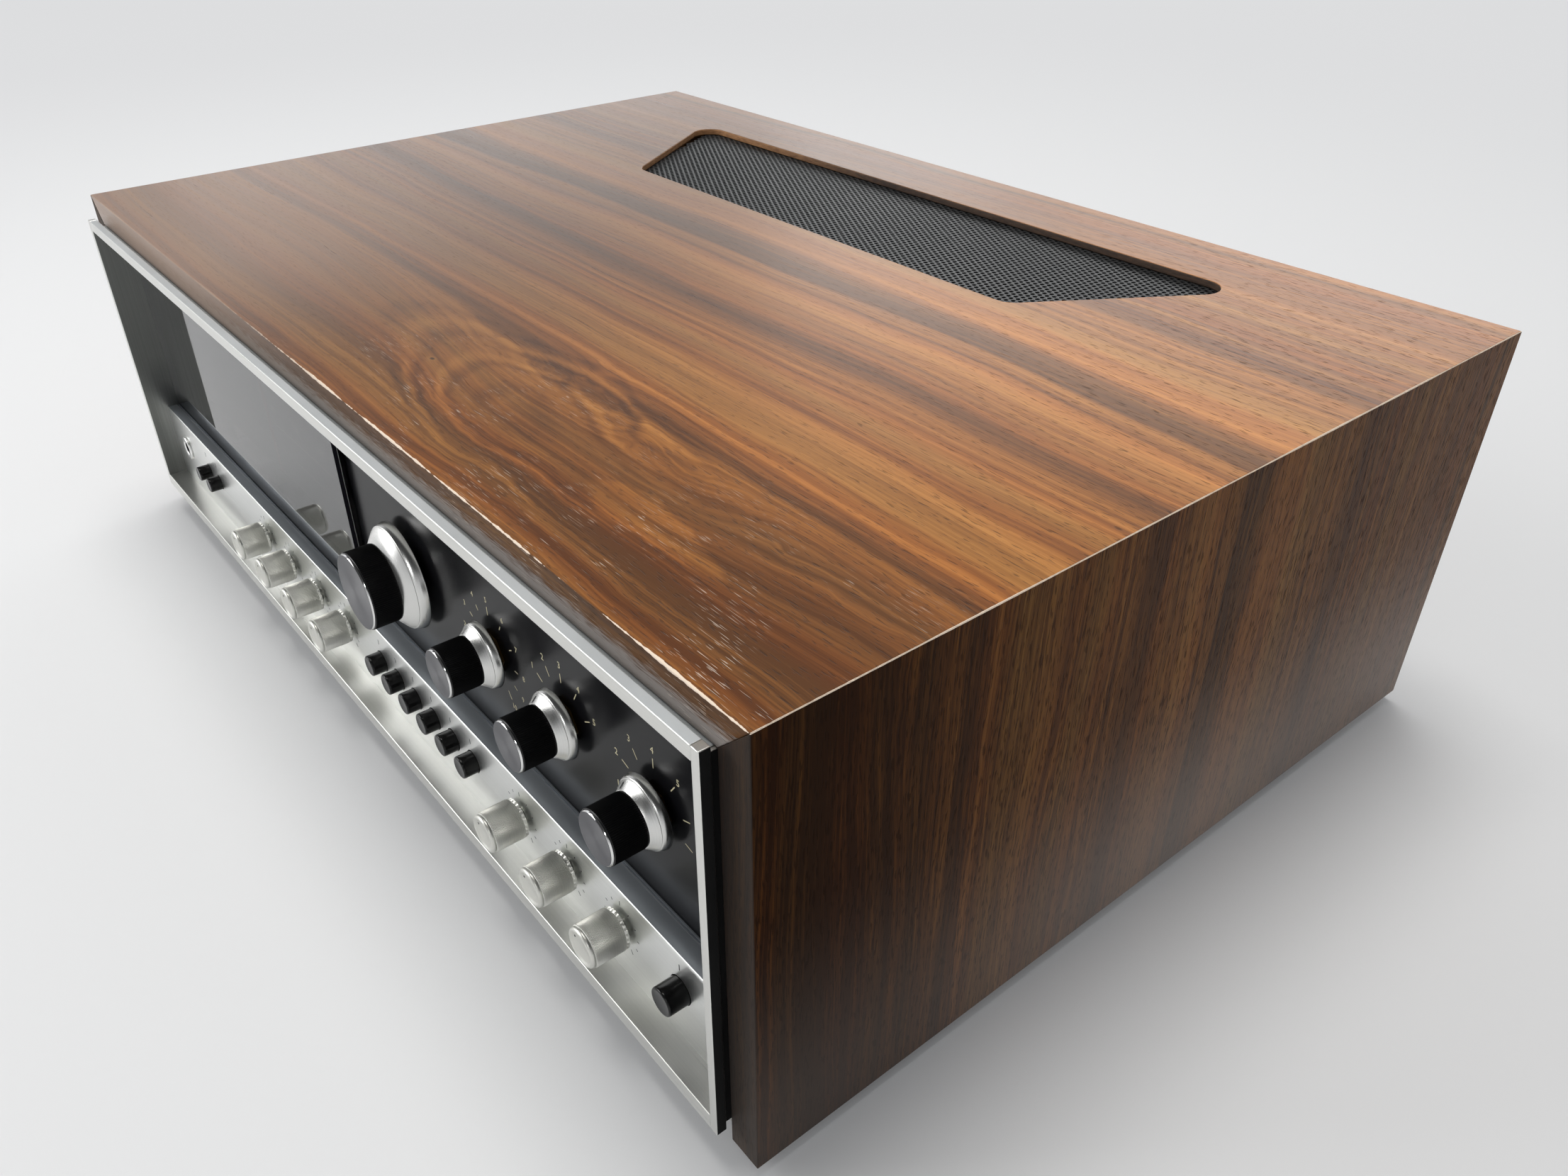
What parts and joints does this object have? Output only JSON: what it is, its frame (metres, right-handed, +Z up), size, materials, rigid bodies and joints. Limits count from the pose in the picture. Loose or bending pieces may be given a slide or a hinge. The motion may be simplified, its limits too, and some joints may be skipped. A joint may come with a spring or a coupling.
{
  "type": "hi-fi receiver",
  "caption": "Wood-cased hi-fi receiver with a smoked tuning dial, a large tuning knob, turned tone knobs, push buttons, a top vent and rear terminals.",
  "frame": {"origin": "on the table, under the middle of the whole object's box", "axes": "+X to the right seen from the front, +Y to the back, +Z up"},
  "size_m": [0.52, 0.3656, 0.1674],
  "materials": {
    "walnut": "oiled walnut veneer",
    "grille": "matt dark perforated sheet",
    "satin_metal": "satin anodised",
    "brushed_metal": "fine brushed",
    "ledge_paint": "satin",
    "black_paint": "satin black",
    "smoked_glass": "smoked, polished",
    "scale_paint": "matt dark with pale marks",
    "lamp_glass": "clear",
    "cord": "braided",
    "bright_metal": "polished",
    "brass": "turned",
    "zinc": "zinc plated",
    "rear_paint": "satin grey",
    "rubber": "matt",
    "black_plastic": "moulded",
    "transformer_paint": "varnished",
    "can_sleeve": "sleeved can",
    "sink_black": "black anodised",
    "board": "laminate",
    "nickel": "nickel plated",
    "knob_black": "fluted",
    "knob_metal": "turned satin",
    "small_knob_metal": "knurled satin",
    "pointer_red": "painted",
    "button_black": "polished"
  },
  "bodies": {
    "receiver": {"cabinet_top": "walnut", "cabinet_left_side": "walnut", "cabinet_right_side": "walnut", "vent_grille": "grille", "bezel_top": "satin_metal", "bezel_bottom": "satin_metal", "bezel_left": "satin_metal", "bezel_right": "satin_metal", "lower_panel": "brushed_metal", "ledge_strip": "ledge_paint", "control_panel": "black_paint", "front_subpanel": "black_paint", "dial_glass": "smoked_glass", "dial_scale": "scale_paint", "dial_lamps": "lamp_glass", "dial_cord": "cord", "headphone_socket": "bright_metal", "panel_bushes": "brass", "panel_controls": "zinc", "push_switches": "zinc", "tuning_capacitor": "zinc", "chassis": "zinc", "fasteners": "zinc", "power_transistors": "zinc", "rear_panel": "rear_paint", "feet": "rubber", "terminal_strips": "black_plastic", "mains_fittings": "black_plastic", "power_transformer": "transformer_paint", "filter_capacitors": "can_sleeve", "heat_sink": "sink_black", "circuit_boards": "board", "phono_jacks": "nickel"},
    "tuning": {"tuning_knob": "knob_black", "tuning_spindle": "knob_metal"},
    "rotor": {"capacitor_rotor": "knob_metal"},
    "pointer": {"dial_pointer": "pointer_red"},
    "volume": {"volume_knob": "knob_black", "volume_spindle": "knob_metal"},
    "mode": {"mode_knob": "knob_black", "mode_spindle": "knob_metal"},
    "selector": {"selector_knob": "knob_black", "selector_spindle": "knob_metal"},
    "aerial": {"ferrite_aerial": "black_plastic"},
    "small_1": {"small_knob_1": "small_knob_metal"},
    "small_2": {"small_knob_2": "small_knob_metal"},
    "small_3": {"small_knob_3": "small_knob_metal"},
    "small_4": {"small_knob_4": "small_knob_metal"},
    "small_5": {"small_knob_5": "small_knob_metal"},
    "small_6": {"small_knob_6": "small_knob_metal"},
    "small_7": {"small_knob_7": "small_knob_metal"},
    "pair_button_1_body": {"pair_button_1": "button_black"},
    "pair_button_2_body": {"pair_button_2": "button_black"},
    "row_button_1_body": {"row_button_1": "button_black"},
    "row_button_2_body": {"row_button_2": "button_black"},
    "row_button_3_body": {"row_button_3": "button_black"},
    "row_button_4_body": {"row_button_4": "button_black"},
    "row_button_5_body": {"row_button_5": "button_black"},
    "row_button_6_body": {"row_button_6": "button_black"},
    "end_button_body": {"end_button": "button_black"}
  },
  "joints": [
    {"name": "tuning_turn", "type": "hinge", "parent": "receiver", "child": "tuning", "pos_m": [0.0468, -0.15995, 0.0975], "axis": [0, 1, 0], "range_deg": [-930, 930]},
    {"name": "rotor_turn", "type": "hinge", "parent": "receiver", "child": "rotor", "pos_m": [-0.02, -0.14075, 0.091], "axis": [0, 1, 0], "range_deg": [-90, 90]},
    {"name": "pointer_slide", "type": "slide", "parent": "receiver", "child": "pointer", "axis": [1, 0, 0], "range_m": [-0.07, 0.07]},
    {"name": "volume_turn", "type": "hinge", "parent": "receiver", "child": "volume", "pos_m": [0.1085, -0.15995, 0.0975], "axis": [0, 1, 0], "range_deg": [0, 300]},
    {"name": "mode_turn", "type": "hinge", "parent": "receiver", "child": "mode", "pos_m": [0.154, -0.15995, 0.0975], "axis": [0, 1, 0], "range_deg": [-30, 90]},
    {"name": "selector_turn", "type": "hinge", "parent": "receiver", "child": "selector", "pos_m": [0.2025, -0.15995, 0.0975], "axis": [0, 1, 0], "range_deg": [-70, 140]},
    {"name": "small_knob_1_turn", "type": "hinge", "parent": "receiver", "child": "small_1", "pos_m": [-0.109, -0.16775, 0.0433], "axis": [0, 1, 0], "range_deg": [-150, 150]},
    {"name": "small_knob_2_turn", "type": "hinge", "parent": "receiver", "child": "small_2", "pos_m": [-0.0783, -0.16775, 0.0433], "axis": [0, 1, 0], "range_deg": [-150, 150]},
    {"name": "small_knob_3_turn", "type": "hinge", "parent": "receiver", "child": "small_3", "pos_m": [-0.0476, -0.16775, 0.0433], "axis": [0, 1, 0], "range_deg": [-150, 150]},
    {"name": "small_knob_4_turn", "type": "hinge", "parent": "receiver", "child": "small_4", "pos_m": [-0.0169, -0.16775, 0.0433], "axis": [0, 1, 0], "range_deg": [-150, 150]},
    {"name": "small_knob_5_turn", "type": "hinge", "parent": "receiver", "child": "small_5", "pos_m": [0.1284, -0.16775, 0.0433], "axis": [0, 1, 0], "range_deg": [-150, 150]},
    {"name": "small_knob_6_turn", "type": "hinge", "parent": "receiver", "child": "small_6", "pos_m": [0.1591, -0.16775, 0.0433], "axis": [0, 1, 0], "range_deg": [-150, 150]},
    {"name": "small_knob_7_turn", "type": "hinge", "parent": "receiver", "child": "small_7", "pos_m": [0.1898, -0.16775, 0.0433], "axis": [0, 1, 0], "range_deg": [-150, 150]},
    {"name": "pair_button_1_press", "type": "slide", "parent": "receiver", "child": "pair_button_1_body", "axis": [0, 1, 0], "range_m": [0, 0.004], "stiffness_N_per_m": 250},
    {"name": "pair_button_2_press", "type": "slide", "parent": "receiver", "child": "pair_button_2_body", "axis": [0, 1, 0], "range_m": [0, 0.004], "stiffness_N_per_m": 250},
    {"name": "row_button_1_press", "type": "slide", "parent": "receiver", "child": "row_button_1_body", "axis": [0, 1, 0], "range_m": [0, 0.004], "stiffness_N_per_m": 250},
    {"name": "row_button_2_press", "type": "slide", "parent": "receiver", "child": "row_button_2_body", "axis": [0, 1, 0], "range_m": [0, 0.004], "stiffness_N_per_m": 250},
    {"name": "row_button_3_press", "type": "slide", "parent": "receiver", "child": "row_button_3_body", "axis": [0, 1, 0], "range_m": [0, 0.004], "stiffness_N_per_m": 250},
    {"name": "row_button_4_press", "type": "slide", "parent": "receiver", "child": "row_button_4_body", "axis": [0, 1, 0], "range_m": [0, 0.004], "stiffness_N_per_m": 250},
    {"name": "row_button_5_press", "type": "slide", "parent": "receiver", "child": "row_button_5_body", "axis": [0, 1, 0], "range_m": [0, 0.004], "stiffness_N_per_m": 250},
    {"name": "row_button_6_press", "type": "slide", "parent": "receiver", "child": "row_button_6_body", "axis": [0, 1, 0], "range_m": [0, 0.004], "stiffness_N_per_m": 250},
    {"name": "end_button_press", "type": "slide", "parent": "receiver", "child": "end_button_body", "axis": [0, 1, 0], "range_m": [0, 0.004], "stiffness_N_per_m": 250},
    {"name": "aerial_swing", "type": "hinge", "parent": "receiver", "child": "aerial", "pos_m": [0.18, 0.17675, 0.131], "axis": [0, 0, -1], "range_deg": [0, 90]}
  ],
  "couplings": [
    {"joint": "rotor_turn", "follows": "tuning_turn", "ratio": 0.095982},
    {"joint": "pointer_slide", "follows": "tuning_turn", "m_per_rad": 0.0043}
  ]
}
